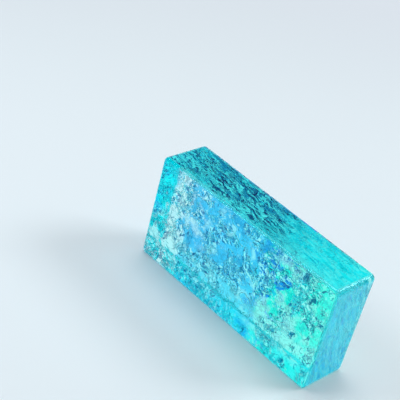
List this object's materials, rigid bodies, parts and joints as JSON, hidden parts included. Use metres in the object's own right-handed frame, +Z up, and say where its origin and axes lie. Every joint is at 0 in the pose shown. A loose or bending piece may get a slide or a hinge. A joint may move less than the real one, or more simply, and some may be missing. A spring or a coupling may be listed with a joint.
{
  "type": "solid glass block",
  "caption": "Solid cast glass wall block: a long brick of clear aqua glass with rippled big faces, soft arrises and flat bed and end faces.",
  "frame": {"origin": "middle of the lower long bed face, the face that the block stands on when it is laid", "axes": "+X along the length, +Y through the thickness from the front face to the back face, +Z up"},
  "size_m": [0.2, 0.048, 0.1],
  "materials": {
    "aqua_glass": "fire-polished clear cast glass, tinted aqua through its depth, with fine mould ripples"
  },
  "bodies": {
    "root": {"glass_block": "aqua_glass"}
  },
  "joints": []
}
